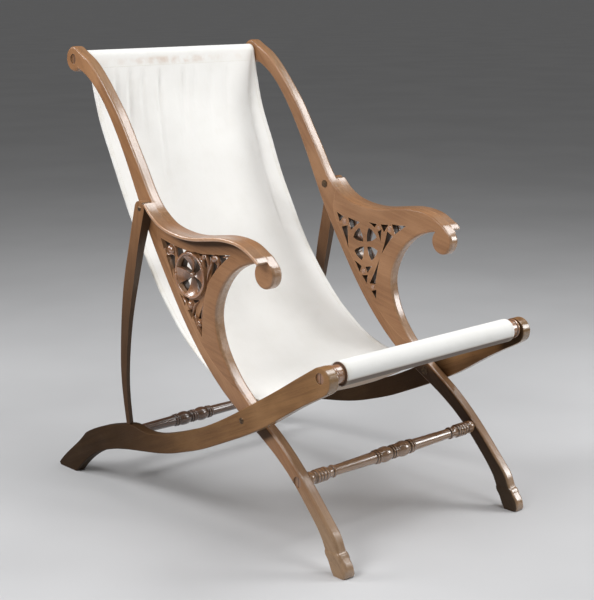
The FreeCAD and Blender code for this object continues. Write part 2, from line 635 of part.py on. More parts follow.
save("arm_dowels", both_sides(dowels()))
save("strip_pins", both_sides(pins()))
pivot_rivet = rivet(PIVOT_SHANK_R, PIVOT_HEAD_R, PIVOT, RAIL_OUT + RUNNING_GAP)
strut_rivet = rivet(STRUT_SHANK_R, STRUT_HEAD_CAP_R, STRUT_PIVOT, STRUT_OUT + RUNNING_GAP)
save("pivot_rivets", both_sides([pivot_rivet]))
save("strut_rivets", both_sides([strut_rivet]))
for name, shank_r, centre in (("pivot", PIVOT_SHANK_R, PIVOT), ("strut", STRUT_SHANK_R, STRUT_PIVOT)):
    washer = ring(shank_r, shank_r + WASHER_EXTRA_R, FRAME_OUT, LAYER_IN, centre)
    rove = ring(shank_r, shank_r + ROVE_EXTRA_R, FRAME_IN - ROVE_THICK, FRAME_IN, centre)
    save(name + "_washers", both_sides([washer]))
    save(name + "_roves", both_sides([rove]))

sling_back, sling_seat = make_sling()
save("sling_back", sling_back)
save("sling_seat", sling_seat)
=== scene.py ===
import math

import bmesh
import bpy
import numpy as np
from mathutils import Matrix, Vector, noise


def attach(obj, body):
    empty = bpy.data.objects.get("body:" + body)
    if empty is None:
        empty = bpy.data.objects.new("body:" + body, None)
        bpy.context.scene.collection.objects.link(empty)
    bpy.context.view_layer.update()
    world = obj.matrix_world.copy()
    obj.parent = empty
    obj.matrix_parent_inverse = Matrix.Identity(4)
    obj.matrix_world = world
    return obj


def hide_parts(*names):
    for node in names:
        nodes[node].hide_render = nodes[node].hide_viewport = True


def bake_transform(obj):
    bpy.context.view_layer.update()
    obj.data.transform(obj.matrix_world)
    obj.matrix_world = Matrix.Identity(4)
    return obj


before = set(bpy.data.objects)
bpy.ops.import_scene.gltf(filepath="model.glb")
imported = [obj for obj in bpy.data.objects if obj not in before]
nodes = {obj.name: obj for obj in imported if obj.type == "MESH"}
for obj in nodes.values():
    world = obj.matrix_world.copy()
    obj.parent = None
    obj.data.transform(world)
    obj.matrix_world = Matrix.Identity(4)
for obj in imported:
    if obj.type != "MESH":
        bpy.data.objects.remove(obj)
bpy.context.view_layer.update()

SIDES = (("left", 1), ("right", -1))

# The side frames: on each side a back stile and front leg sawn in one board, an arm panel glued to it and
# a moulding planted along the arm. Red-brown hardwood, stained and rubbed to a satin polish, with the
# grain running straight through every sawn curve.


class Tone:
    """One output in a finish's node tree, so that a mask can be written as a plain sum."""

    def __init__(self, finish, socket):
        self.finish = finish
        self.socket = socket

    def reckon(self, operation, *values):
        return self.finish.node("Math", {"operation": operation}, dict(enumerate(values)))

    def __add__(self, other):
        return self.reckon("ADD", self, other)

    def __sub__(self, other):
        return self.reckon("SUBTRACT", self, other)

    def __rsub__(self, other):
        return self.reckon("SUBTRACT", other, self)

    def __mul__(self, other):
        return self.reckon("MULTIPLY", self, other)

    def __abs__(self):
        return self.reckon("ABSOLUTE", self)

    __radd__ = __add__
    __rmul__ = __mul__

    def wave(self):
        return self.reckon("SINE", self)

    def between(self, low, high):
        """0 below low, 1 above high, and a smooth rise from one to the other."""
        sockets = {"Value": self, "From Min": low, "From Max": high}
        return self.finish.node("MapRange", {"interpolation_type": "SMOOTHSTEP"}, sockets)

    def near(self, place, full, gone):
        """1 within a distance of a place, fading to 0 further off."""
        return 1 - abs(self - place).between(full, gone)

    def most(self, other):
        return self.reckon("MAXIMUM", self, other)


class Finish:
    """The nodes of a material, or of the studio's world, that feed its one shader."""

    def __init__(self, block, shader="Principled BSDF"):
        block.use_nodes = True
        self.block = block
        self.tree = block.node_tree
        self.shader = self.tree.nodes[shader]

    def node(self, kind, settings=None, sockets=None, out=0):
        made = self.tree.nodes.new("ShaderNode" + kind)
        for key, value in (settings or {}).items():
            setattr(made, key, value)
        self.feed(made, sockets or {})
        return Tone(self, made.outputs[out])

    def feed(self, node, sockets):
        for key, value in sockets.items():
            if isinstance(value, Tone):
                self.tree.links.new(value.socket, node.inputs[key])
            else:
                node.inputs[key].default_value = value

    def mix(self, share, first, second):
        colours = [c if isinstance(c, Tone) else (*c, 1.0) for c in (first, second)]
        sockets = {0: share, 6: colours[0], 7: colours[1]}
        return self.node("Mix", {"data_type": "RGBA"}, sockets, out=2)

    def axes(self, place):
        return [self.node("SeparateXYZ", {}, {"Vector": place}, out=axis) for axis in "XYZ"]

    def facing(self):
        """How far the surface is turned along each axis."""
        return self.axes(self.node("NewGeometry", out="Normal"))

    def speckle(self, place, size, detail=3.0, roughness=0.55, turn=(0.0, 0.0, 0.0)):
        """Noise whose patches have one size, or a size along each axis, and are turned with the piece."""
        sizes = size if isinstance(size, tuple) else (size, size, size)
        sockets = {"Vector": place, "Rotation": turn, "Scale": sizes}
        scaled = self.node("Mapping", {"vector_type": "TEXTURE"}, sockets)
        sockets = {"Vector": scaled, "Scale": 1.0, "Detail": detail, "Roughness": roughness}
        return self.node("TexNoise", {}, sockets)

    def edge_wear(self, reach):
        """1 on sharp edges, where hands and dusters have worn the polish, and 0 on open faces."""
        rounded = self.node("Bevel", {"samples": 4}, {"Radius": reach})
        facing = self.node("NewGeometry", out="Normal")
        along = self.node("VectorMath", {"operation": "DOT_PRODUCT"}, {0: rounded, 1: facing}, out="Value")
        return (1 - along).between(0.01, 0.12)


# How far old polish has bloomed to a greyer brown, in red, green and blue; the same greying on faces
# turned to the front is a painted sheen
BLOOM_AND_SHEEN = (1.08, 1.50, 2.05)
FRONT_SHEEN_SHARE = 0.5
RUBBED_EDGE = 0.003
PORE_DEPTH = 0.0004
POLISH_ROUGHNESS = 0.19
POLISH_IOR = 1.7


def wood_finish(name, grain_turn, tones, gloss, soil_and_shade=None, coat=0.45, side_highlight_share=0.0, bloomed=None):
    """Stained hardwood: streaks, pores and worn edges along a grain that is turned with the board.
    Faces turned to the front get the brightest polish, and a greyer colour there that is a painted sheen.
    The side highlight share is how far faces turned sideways are painted paler, a painted highlight.
    The darkening mask given is real grime on some boards and painted shade on others."""
    deep, middle, glow = tones
    finish = Finish(bpy.data.materials.new(name))
    spot = finish.node("TexCoord", out="Object")

    def grain(across, along, detail=3.0, roughness=0.55):
        return finish.speckle(spot, (across, along, across), detail, roughness, grain_turn)

    streak = grain(0.007, 0.24, 5.0, 0.6)
    fine = grain(0.0013, 0.05)
    pores = grain(0.0006, 0.009, 2.0)
    cloud = grain(0.09, 0.16, 2.0)
    rub = grain(0.03, 0.08)
    shade = streak.between(0.30, 0.70) * 0.65 + fine.between(0.32, 0.68) * 0.35
    colour = finish.mix(shade, deep, middle)
    colour = finish.mix(cloud.between(0.42, 0.72) * 0.6, colour, glow)
    out, front = finish.facing()[:2]
    handled = front.between(-0.25, -0.75)
    # Faces turned to the front are painted greyer, a painted sheen
    bloom_and_sheen = handled * FRONT_SHEEN_SHARE
    if bloomed is not None:
        bloom_and_sheen = bloom_and_sheen.most(bloomed(finish, spot))
    bloom_and_sheen_tones = [[c * more for c, more in zip(tone, BLOOM_AND_SHEEN)] for tone in (deep, middle)]
    colour = finish.mix(bloom_and_sheen, colour, finish.mix(shade, *bloom_and_sheen_tones))
    open_pores = pores.between(0.60, 0.70)
    colour = finish.mix(open_pores * 0.4, colour, [c * 0.35 for c in deep])
    worn = finish.edge_wear(RUBBED_EDGE) * cloud.between(0.30, 0.55)
    colour = finish.mix(worn * 0.35, colour, [c * 1.5 + 0.02 for c in glow])
    dull = gloss + 0.14 * rub.between(0.35, 0.70) + 0.12 * open_pores
    bump = {"Strength": 0.2, "Distance": PORE_DEPTH, "Height": fine * 0.5 - open_pores}
    finish.feed(finish.shader, {
        "Specular IOR Level": 0.05 + 0.9 * coat,
        "Normal": finish.node("Bump", {}, bump),
        "Coat Roughness": POLISH_ROUGHNESS,
        "Coat IOR": POLISH_IOR,
    })
    # Faces turned sideways are painted paler, a painted highlight
    if side_highlight_share:
        side_highlight = abs(out).between(0.30, 0.70)
        colour = finish.mix(side_highlight * side_highlight_share, colour, [c * 1.45 + 0.04 for c in glow])
        handled = handled.most(side_highlight)
    coat = coat + (1.0 - coat) * handled
    dull = dull - 0.10 * handled
    # The darkening: real grime on some boards, painted shade on others
    if soil_and_shade is not None:
        dirt_and_shade = soil_and_shade(finish, spot) * (0.75 + 0.25 * streak)
        colour = finish.mix(dirt_and_shade, colour, [c * 0.06 for c in deep])
        dull = dull + 0.3 * dirt_and_shade
        coat = coat - coat * dirt_and_shade
    finish.feed(finish.shader, {"Base Color": colour, "Roughness": dull, "Coat Weight": coat})
    return finish.block


def sawn_along(degrees):
    """The turn of a board's grain, from level towards the crest."""
    return (math.radians(degrees), 0.0, 0.0)


def dress(names, material):
    for name in names:
        for slot in nodes[name].material_slots:
            slot.material = material


WOOD = ((0.228, 0.105, 0.043), (0.335, 0.164, 0.073), (0.427, 0.224, 0.108))
WOOD_GLOSS = 0.33
FRAME_IN = 0.240
FRAME_OUT = 0.265
FRET_LOW = 0.43
FRET_NOSE = -0.056
FRET_HOLLOW = 4.4
FRET_TOP = 0.586
# The lower edge of the seat rail where it passes the leg
RAIL_UNDER_Y = -0.192
RAIL_UNDER_Z = 0.222
RAIL_UNDER_SLOPE = 0.528
# The top of the arm, as places along and up
ARM_TOP = np.array([(0.055, 0.616), (0.010, 0.604), (-0.040, 0.601), (-0.095, 0.607), (-0.145, 0.612),
                    (-0.185, 0.609), (-0.212, 0.601)])


def panel_painted_shade(finish, spot):
    """Painted shade on the walls of the piercings, nearly to the inner face, and a painted shadow below
    the planted strip.
    """
    x, y, z = finish.axes(spot)
    # Painted shade deep in the piercings
    sunk = (FRAME_OUT - abs(x)).between(0.0075, 0.0125)
    sunk = sunk * abs(x).between(FRAME_IN + 0.0002, FRAME_IN + 0.0012)
    up = z - FRET_LOW
    behind_nose = (y + up * up * FRET_HOLLOW).between(FRET_NOSE - 0.005, FRET_NOSE)
    pierced_shade = sunk * behind_nose * (1 - z.between(FRET_TOP, FRET_TOP + 0.005))
    arm = 0.0
    for share in np.polyfit(ARM_TOP[:, 0], ARM_TOP[:, 1], 4):
        arm = y * arm + float(share)
    # A painted shadow cast by the planted strip
    strip_shadow = 1 - (arm - z).between(0.017, 0.024)
    strip_shadow = strip_shadow * abs(x).between(FRAME_OUT - 0.0006, FRAME_OUT - 0.0003) * y.between(-0.190, -0.150)
    return pierced_shade.most(strip_shadow * 0.8)


def leg_painted_shade(finish, spot):
    """Painted shade on the inner faces of the legs, below the seat, and a painted shadow on the outer face
    just below the seat rail.
    """
    x, y, z = finish.axes(spot)
    inner = (1 - abs(x).between(FRAME_IN + 0.0003, FRAME_IN + 0.0018)) * (1 - z.between(0.25, 0.30))
    # A painted shadow under the seat rail, on the leg's outer face
    turned = (RAIL_UNDER_Z - (y - RAIL_UNDER_Y) * RAIL_UNDER_SLOPE - z).near(-0.010, 0.028, 0.044)
    return (inner * 0.95).most(turned * abs(x).between(FRAME_OUT - 0.0008, FRAME_OUT - 0.0003) * 0.9)


def leg_bloom(finish, spot):
    """Polish that has gone greyer towards the front foot, from damp floors."""
    return (1 - finish.axes(spot)[2].between(0.06, 0.21)) * 0.8


PANEL_SLOPE = 12.0
# Each board: the slope of its grain, its darkening (grime or painted shade), its coat, the share of its
# painted side highlight, and its bloom
FRAME_BOARDS = {
    "stile_leg": (48.0, leg_painted_shade, 0.22, 0.0, leg_bloom),
    "arm_panel": (PANEL_SLOPE, panel_painted_shade, 0.22, 0.0, None),
    "arm_strip": (0.0, None, 0.5, 0.5, None),
}
for board, (slope, *dressing) in FRAME_BOARDS.items():
    board_finish = wood_finish(board + " polish", sawn_along(slope), WOOD, WOOD_GLOSS, *dressing)
    dress([side + "_" + board for side, way in SIDES], board_finish)
dress(["arm_dowels"], bpy.data.materials["arm_panel polish"])

# The carving in the pierced panels: on the outer face a bead round the wheel, four dished vanes on a hub,
# and buds with curled leaves between the piercings. The same wood, cut with gouges and left brighter on
# its high places. The inner face has only low round bosses.
CARVED_GROUND = 0.257
WELL_GROUND = 0.253
WHEEL = (-0.011, 0.516)
WHEEL_WELL_R = 0.0416
WHEEL_BEAD_R = 0.0450
WHEEL_BEAD_HALF = 0.0028
WHEEL_BEAD_RISE = 0.0017
WHEEL_BEAD_SUNK = 0.0006
VANE_FIRST = 83.0
VANE_HALF = 24.0
VANE_THIN = 0.0006
VANE_TWIST = 0.0045
VANE_DISH = 0.0100
HUB_R = 0.0068
HUB_RISE = 0.0092
# Each bud: its middle, its radius, and the way it points
BUDS = [((0.056, 0.560), 0.0085, 28.0), ((-0.053, 0.559), 0.0052, 90.0), ((-0.087, 0.560), 0.0080, 150.0),
        ((-0.006, 0.453), 0.0072, 270.0), ((-0.036, 0.420), 0.0058, 250.0)]
# Each leaf: the points along its rib, and its widest half
LEAVES = [([(0.066, 0.574), (0.054, 0.577), (0.044, 0.572), (0.038, 0.560), (0.036, 0.548)], 0.0030),
          ([(0.080, 0.566), (0.070, 0.556), (0.060, 0.549), (0.050, 0.552), (0.043, 0.548)], 0.0026),
          ([(0.008, 0.562), (-0.006, 0.5655), (-0.020, 0.566)], 0.0024),
          ([(-0.050, 0.571), (-0.060, 0.562), (-0.066, 0.551), (-0.066, 0.538), (-0.062, 0.528)], 0.0026),
          ([(-0.037, 0.556), (-0.046, 0.552), (-0.052, 0.542), (-0.053, 0.530)], 0.0022),
          ([(-0.086, 0.571), (-0.096, 0.563), (-0.100, 0.552), (-0.094, 0.540), (-0.084, 0.533)], 0.0028),
          ([(-0.074, 0.562), (-0.077, 0.550), (-0.072, 0.538), (-0.065, 0.524), (-0.060, 0.508)], 0.0030),
          ([(-0.112, 0.566), (-0.122, 0.5685), (-0.134, 0.5705)], 0.0022),
          ([(0.022, 0.468), (0.010, 0.460), (0.002, 0.448), (-0.004, 0.436)], 0.0026),
          ([(-0.032, 0.464), (-0.022, 0.456), (-0.016, 0.444), (-0.012, 0.432)], 0.0024),
          ([(-0.052, 0.470), (-0.048, 0.450), (-0.044, 0.434), (-0.042, 0.420)], 0.0022),
          ([(-0.022, 0.436), (-0.026, 0.424), (-0.034, 0.408), (-0.044, 0.398)], 0.0024)]
LEAF_RISE = 0.0064
BUD_RISE = 0.0078
BOSS_RISE = 0.0011
BUD_LONG = 1.35
SHARP_FROM = math.radians(40.0)


def smooth_line(points, count):
    """Evenly spaced points on a smooth curve through the given ones."""
    knots = np.array(points, float)
    steps = np.r_[0.0, np.cumsum(np.linalg.norm(np.diff(knots, axis=0), axis=1))]
    gaps = np.diff(steps)
    rows = np.eye(len(knots))
    pull = np.zeros_like(knots)
    for i in range(1, len(knots) - 1):
        rows[i, i - 1:i + 2] = gaps[i - 1], 2 * (gaps[i - 1] + gaps[i]), gaps[i]
        pull[i] = 6 * ((knots[i + 1] - knots[i]) / gaps[i] - (knots[i] - knots[i - 1]) / gaps[i - 1])
    bend = np.linalg.solve(rows, pull)
    spots = np.linspace(0.0, steps[-1], 20 * count)
    k = np.clip(np.searchsorted(steps, spots, side="right") - 1, 0, len(knots) - 2)
    after = ((spots - steps[k]) / gaps[k])[:, None]
    before = 1 - after
    square = (gaps[k] ** 2)[:, None] / 6
    line = before * knots[k] + after * knots[k + 1]
    line += ((before ** 3 - before) * bend[k] + (after ** 3 - after) * bend[k + 1]) * square
    run = np.r_[0.0, np.cumsum(np.linalg.norm(np.diff(line, axis=0), axis=1))]
    even = np.linspace(0.0, run[-1], count)
    return np.stack([np.interp(even, run, line[:, axis]) for axis in range(knots.shape[1])], axis=1)


def carve(mesh, rows, base, way, side, sunk=0.001):
    """Adds a closed lump whose top is a grid of (y, z, height) and whose foot is sunk into the wood."""
    tops = []
    feet = []
    for row in rows:
        tops.append([mesh.verts.new((side * (base + way * high), y, z)) for y, z, high in row])
        feet.append([mesh.verts.new((side * (base - way * sunk), y, z)) for y, z, high in row])
    last = len(rows) - 1
    end = len(rows[0]) - 1
    for i in range(last):
        for j in range(end):
            mesh.faces.new((tops[i][j], tops[i][j + 1], tops[i + 1][j + 1], tops[i + 1][j]))
            mesh.faces.new((feet[i][j], feet[i + 1][j], feet[i + 1][j + 1], feet[i][j + 1]))
    for i in range(last):
        for j in (0, end):
            mesh.faces.new((tops[i][j], tops[i + 1][j], feet[i + 1][j], feet[i][j]))
    for j in range(end):
        for i in (0, last):
            mesh.faces.new((tops[i][j], tops[i][j + 1], feet[i][j + 1], feet[i][j]))


def swings(most, count):
    """Angles at even steps from most degrees on one side of upright to as many on the other."""
    return [math.radians(-most + 2 * most * i / (count - 1)) for i in range(count)]


def ball_rows(middle, radius, rise, turn=0.0, stretch=1.0):
    """A round or egg-shaped dome as rows of (y, z, height)."""
    rows = []
    ahead = (math.cos(math.radians(turn)), math.sin(math.radians(turn)))
    for lift in swings(88, 13):
        half = radius * math.cos(lift)
        run = radius * stretch * math.sin(lift)
        row = []
        for swing in swings(88, 11):
            out = half * math.sin(swing)
            y = middle[0] + ahead[0] * run - ahead[1] * out
            z = middle[1] + ahead[1] * run + ahead[0] * out
            row.append((y, z, rise * math.cos(lift) * math.cos(swing)))
        rows.append(row)
    return rows


def leaf_rows(points, half, rise):
    """A half-round leaf that swells from one pointed end and tapers to the other."""
    spine = smooth_line(points, 17)
    ways = np.gradient(spine, axis=0)
    ways /= np.linalg.norm(ways, axis=1)[:, None]
    rows = []
    for i, ((y, z), (dy, dz)) in enumerate(zip(spine, ways)):
        swell = max(0.06, math.sin(math.pi * (0.04 + 0.92 * i / 16) ** 0.8))
        row = []
        for swing in swings(86, 9):
            out = half * swell * math.sin(swing)
            row.append((y - dz * out, z + dy * out, rise * swell ** 0.5 * math.cos(swing)))
        rows.append(row)
    return rows


def vane_rows(middle_turn):
    """One sail of the wheel: low on one side, a sharp edge on the other, and dished up to the rim."""
    rows = []
    root = HUB_R * 0.7
    for i in range(17):
        out = i / 16
        reach = root + (WHEEL_WELL_R - root) * out
        row = []
        for j in range(11):
            across = j / 10
            turn = math.radians(middle_turn - VANE_HALF + 2 * VANE_HALF * across)
            high = VANE_THIN + VANE_TWIST * across ** 1.6 * (1 - 0.5 * out) + VANE_DISH * out ** 3
            row.append((WHEEL[0] + reach * math.cos(turn), WHEEL[1] + reach * math.sin(turn), high))
        rows.append(row)
    return rows


def bead_rows():
    """The half-round bead, once round the wheel."""
    rows = []
    for degrees in range(0, 365, 5):
        turn = math.radians(degrees)
        row = []
        for swing in swings(88, 9):
            reach = WHEEL_BEAD_R + WHEEL_BEAD_HALF * math.sin(swing)
            high = WHEEL_BEAD_RISE * math.cos(swing)
            row.append((WHEEL[0] + reach * math.cos(turn), WHEEL[1] + reach * math.sin(turn), high))
        rows.append(row)
    return rows


def show(name, data):
    """A new object at the origin for a mesh, a lamp or a lens."""
    piece = bpy.data.objects.new(name, data)
    bpy.context.scene.collection.objects.link(piece)
    return piece


def new_piece(name, mesh, material):
    """Turns a bmesh into a shown object."""
    bmesh.ops.remove_doubles(mesh, verts=mesh.verts, dist=1e-6)
    bmesh.ops.recalc_face_normals(mesh, faces=mesh.faces)
    data = bpy.data.meshes.new(name)
    mesh.to_mesh(data)
    mesh.free()
    data.materials.append(material)
    data.shade_smooth()
    data.set_sharp_from_angle(angle=SHARP_FROM)
    return show(name, data)


CARVED_WOOD = ((0.180, 0.070, 0.027), (0.350, 0.152, 0.063), (0.480, 0.230, 0.107))
CARVED_GLOSS = 0.18


def low_soil(finish, spot):
    """Dust left at the foot of the carving on the outer face."""
    x = abs(finish.axes(spot)[0])
    low = x.between(CARVED_GROUND + 0.003, WELL_GROUND + 0.001)
    return low * x.between(FRAME_IN, WELL_GROUND - 0.004) * 0.8


carved_along = sawn_along(PANEL_SLOPE)
carving_finish = wood_finish("carving polish", carved_along, CARVED_WOOD, CARVED_GLOSS, low_soil, 1.0)
for side, way in SIDES:
    carved = bmesh.new()
    for vane in range(4):
        carve(carved, vane_rows(VANE_FIRST + 90 * vane), WELL_GROUND, 1, way)
    carve(carved, ball_rows(WHEEL, HUB_R, HUB_RISE), WELL_GROUND, 1, way)
    for middle, radius, turn in BUDS:
        carve(carved, ball_rows(middle, radius, BUD_RISE, turn, BUD_LONG), CARVED_GROUND, 1, way)
        carve(carved, ball_rows(middle, radius * 0.8, BOSS_RISE), FRAME_IN, -1, way)
    for points, half in LEAVES:
        carve(carved, leaf_rows(points, half, LEAF_RISE), CARVED_GROUND, 1, way)
    carving = new_piece(side + "_fret_carving", carved, carving_finish)
    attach(carving, "side_frames")
    beaded = bmesh.new()
    carve(beaded, bead_rows(), FRAME_OUT, 1, way, WHEEL_BEAD_SUNK)
    bead = new_piece(side + "_wheel_bead", beaded, carving_finish)
    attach(bead, "side_frames")

# The cross pieces of the side frames: a plain round bar in the crest sleeve and a turned stretcher between
# the legs. Both go through the boards in round tenons that are split and wedged from outside.
ACROSS = (0.0, 0.0, math.radians(-90.0))


def turned_soil(shoulder, tenon, dark_rings):
    """Dark rings round a turned bar, for old polish in its turned hollows or a painted shade where a
    sleeve ends on it, and grime in the end grain of its tenons.
    """

    def soil_and_shade(finish, spot):
        x = abs(finish.axes(spot)[0])
        dirt_and_shade = x.between(shoulder + tenon - 0.0008, shoulder + tenon - 0.0004) * 0.3
        for dark_ring in dark_rings:
            # Each dark ring is old polish in a groove, or on the seat bar also a painted shade
            dirt_and_shade = dirt_and_shade.most(x.near(dark_ring, 0.0004, 0.0017) * 0.9)
        return dirt_and_shade

    return soil_and_shade


# Grooves of a stretcher: those measured from its middle, and those measured in from its shoulder
MIDDLE_GROOVES = (0.0035, 0.0095, 0.0425, 0.0495, 0.0565)
END_GROOVES = (0.0715, 0.0640, 0.0500, 0.0425, 0.0345, 0.0265, 0.0185, 0.0145)


def stretcher_soil(shoulder, tenon):
    ends = tuple(shoulder - dark_ring for dark_ring in END_GROOVES)
    return turned_soil(shoulder, tenon, MIDDLE_GROOVES + ends)


WEDGE_WOOD = ((0.05, 0.02, 0.01), (0.11, 0.045, 0.02), (0.16, 0.07, 0.03))
FRAME_TENON = 0.022
crest_soil = turned_soil(FRAME_IN, FRAME_TENON, ())
dress(["crest_rail"], wood_finish("crest bar wood", ACROSS, WOOD, 0.30, crest_soil))
front_soil = stretcher_soil(FRAME_IN, FRAME_TENON)
dress(["front_stretcher"], wood_finish("front stretcher polish", ACROSS, WOOD, 0.24, front_soil, 0.7))
dress(["frame_tenon_wedges", "seat_tenon_wedges"], wood_finish("wedge wood", ACROSS, WEDGE_WOOD, 0.45))

# The seat frame: two long rails that end in the rear feet, a turned rail in the seat sleeve and a turned
# stretcher, held by round tenons. Duller and browner wood than the side frames, darker to nearly black
# towards the feet, and with painted shade on the rails' inner faces.
RAIL_WOOD = ((0.146, 0.066, 0.023), (0.256, 0.128, 0.048), (0.352, 0.188, 0.079))
BAR_WOOD = ((0.22, 0.085, 0.031), (0.36, 0.155, 0.062), (0.45, 0.21, 0.09))
REAR_WOOD = ((0.050, 0.020, 0.009), (0.115, 0.047, 0.020), (0.17, 0.075, 0.033))
RAIL_IN = 0.266
SEAT_TENON = 0.021
REAR_TENON = 0.018
# Dark rings round the seat bar: a painted shade where the sling's sleeve ends, and a darkened groove at
# the collar
SEAT_BAR_DARK_RINGS = (0.2415, 0.2580)


def rail_darkening_and_shade(finish, spot):
    """Darker towards the rear foot, and painted shade on the inner faces, at the front end and from the
    middle back.
    """
    x, y = finish.axes(spot)[:2]
    hidden = y.between(-0.27, -0.20).most(1 - y.between(-0.40, -0.37))
    # Painted shade on the inner faces
    inner = (1 - abs(x).between(RAIL_IN + 0.0002, RAIL_IN + 0.0015)) * hidden * 0.9
    return inner.most(y.between(-0.32, 0.30))


rail_finish = wood_finish("seat rail polish", sawn_along(-24.0), RAIL_WOOD, 0.30, rail_darkening_and_shade, 0.08)
dress(["left_seat_rail", "right_seat_rail"], rail_finish)
bar_dirt_and_shade = turned_soil(RAIL_IN, SEAT_TENON, SEAT_BAR_DARK_RINGS)
dress(["seat_front_rail"], wood_finish("seat bar wood", ACROSS, BAR_WOOD, 0.26, bar_dirt_and_shade, 0.8))
rear_soil = stretcher_soil(RAIL_IN, REAR_TENON)
dress(["rear_stretcher"], wood_finish("rear stretcher polish", ACROSS, REAR_WOOD, 0.26, rear_soil))

# The props: one bowed strut a side, riveted to the stile and standing on the seat rail. Sawn from the same
# wood, with the arrises left sharper and more rubbed, and painted shade towards the foot and on the front
# edge.


def prop_painted_shade(finish, spot):
    """Painted shade towards the foot, under the arm panel and the sling, and on the front edge, which lies
    in behind the arm panel.
    """
    # Painted shade towards the foot
    low = 1 - finish.axes(spot)[2].between(0.34, 0.78)
    return low.most(finish.facing()[1].between(-0.4, -0.8)) * 0.92


strut_finish = wood_finish("prop polish", sawn_along(97.0), WOOD, WOOD_GLOSS, prop_painted_shade, 0.15)
dress(["left_prop_strut", "right_prop_strut"], strut_finish)

# Rivets, roves, washers and pins: brass that has gone dark brown, with only the domes rubbed a little.
# Each rivet goes through a washer between its two boards, and is hammered over a rove.
BRASS_BRIGHT = (0.15, 0.095, 0.055)
BRASS_BROWN = (0.036, 0.022, 0.012)
brass = Finish(bpy.data.materials.new("old brass"))
brass_spot = brass.node("TexCoord", out="Object")
tarnish = brass.speckle(brass_spot, 0.004, 4.0)
scuff = brass.speckle(brass_spot, 0.0006)
dull = tarnish.between(0.42, 0.62)
brass.feed(brass.shader, {
    "Base Color": brass.mix(dull * 0.8, BRASS_BRIGHT, BRASS_BROWN),
    "Metallic": 1.0 - dull * 0.45,
    "Roughness": 0.26 + dull * 0.24 + scuff * 0.08,
    "Normal": brass.node("Bump", {}, {"Strength": 0.15, "Distance": 0.0002, "Height": scuff}),
})
dress(["pivot_rivets", "strut_rivets", "pivot_roves", "strut_roves", "pivot_washers", "strut_washers",
       "strip_pins"], brass.block)

# The sling: one length of unbleached cotton duck with a sewn sleeve at each end, hung between the crest
# rail and the seat rail. It sags in the seat, and its sides are turned in and hemmed.
CLOTH_THICK = 0.0016
CREST = (0.378, 0.935)
CREST_SLEEVE_R = 0.0163
SEAT_RAIL = (-0.419, 0.388)
SEAT_SLEEVE_R = 0.0233
# The sling's edge from the crest rail down to the seat rail, as places along and up
SLING_SIDE = [(0.352, 0.885), (0.335, 0.820), (0.297, 0.734), (0.257, 0.650), (0.212, 0.569),
              (0.150, 0.474), (0.084, 0.397), (0.017, 0.341), (-0.045, 0.306), (-0.105, 0.289),
              (-0.165, 0.285), (-0.205, 0.291), (-0.250, 0.308), (-0.300, 0.336), (-0.350, 0.368)]
TOP_HALF = 0.236
SEAT_HALF = 0.240
DRAW_IN = 0.008
SEAT_DISH = 0.024
DISH_SKEW = 2.2
HEM_WIDE = 0.012
HEM_DROP = 0.0016
HEM_THICK = 0.0014
# Turns about the two rails, in degrees, where the cloth meets and leaves them
CREST_LEAVE = 170.0
CREST_MEET = -75.0
SEAT_LEAVE = 57.0
SEAT_MEET = 318.0
# The turns about the seat rail between which a dark band is painted under the roll, a painted shade
UNDER_ROLL = (198.0, 262.0)
# The crest seam, behind the sheet, and the end of its allowance
CREST_SEAM = (0.3605, 0.9205)
CREST_TUCK = (0.3590, 0.9125)
# How far down the sheet the crest seam is sewn, from where the sheet leaves the rail
SEAM_HUNG = 0.018
# The sleeve's allowance below the seat rail, from the sleeve down to its cut edge
SEAT_FLAP = [(-0.3985, 0.3690), (-0.3945, 0.3625), (-0.3915, 0.3560)]
# The share of it that hangs down in the middle, and how much more on the right than on the left
FLAP_SHARE = 0.72
FLAP_SLANT = 0.33


def on_circle(middle, radius, degrees):
    turn = math.radians(degrees)
    return (middle[0] + radius * math.cos(turn), middle[1] + radius * math.sin(turn))


crest_loop = [on_circle(CREST, CREST_SLEEVE_R, a) for a in np.linspace(CREST_MEET, CREST_LEAVE, 27)]
hang_end = on_circle(SEAT_RAIL, SEAT_SLEEVE_R, SEAT_LEAVE)
hang = [tuple(p) for p in smooth_line(crest_loop[-1:] + SLING_SIDE + [hang_end], 151)]
seat_turns = np.linspace(SEAT_LEAVE, SEAT_MEET, 31)
seat_loop = [on_circle(SEAT_RAIL, SEAT_SLEEVE_R, a) for a in seat_turns[1:]]
route = np.array([CREST_TUCK, CREST_SEAM] + crest_loop[:-1] + hang + seat_loop + SEAT_FLAP)
first_hung = 1 + len(crest_loop)
last_hung = first_hung + len(hang) - 1
last_wrapped = last_hung + len(seat_loop)
route_run = np.r_[0.0, np.cumsum(np.linalg.norm(np.diff(route, axis=0), axis=1))]
route_way = np.gradient(route, axis=0)
route_way /= np.linalg.norm(route_way, axis=1)[:, None]

# Soft creases below the crest seam: place across at the seam, half width, length and depth
CREST_CREASES = [(-0.165, 0.006, 0.18, 0.0046), (-0.128, 0.006, 0.30, 0.0066),
                 (-0.092, 0.006, 0.22, 0.0052), (-0.046, 0.006, 0.34, 0.0076),
                 (0.020, 0.007, 0.24, 0.0066), (0.052, 0.006, 0.14, 0.0036),
                 (0.100, 0.007, 0.17, 0.0046), (0.150, 0.008, 0.20, 0.0036)]
CREASE_SLANT = 0.20
CREASE_FROM = 0.010
CREASE_RAMP = 0.03
# The pleat beside each edge of the back: distance below the rail, distance from the edge, and depth
PLEAT = np.array([(0.0, 0.006, 0.0), (0.04, 0.015, 0.004), (0.10, 0.031, 0.0065), (0.18, 0.039, 0.0075),
                  (0.27, 0.046, 0.0065), (0.36, 0.051, 0.0035), (0.46, 0.056, 0.0)])
PLEAT_SHARE = {"left": 1.0, "right": 0.5}
PLEAT_SHARP = 0.0022
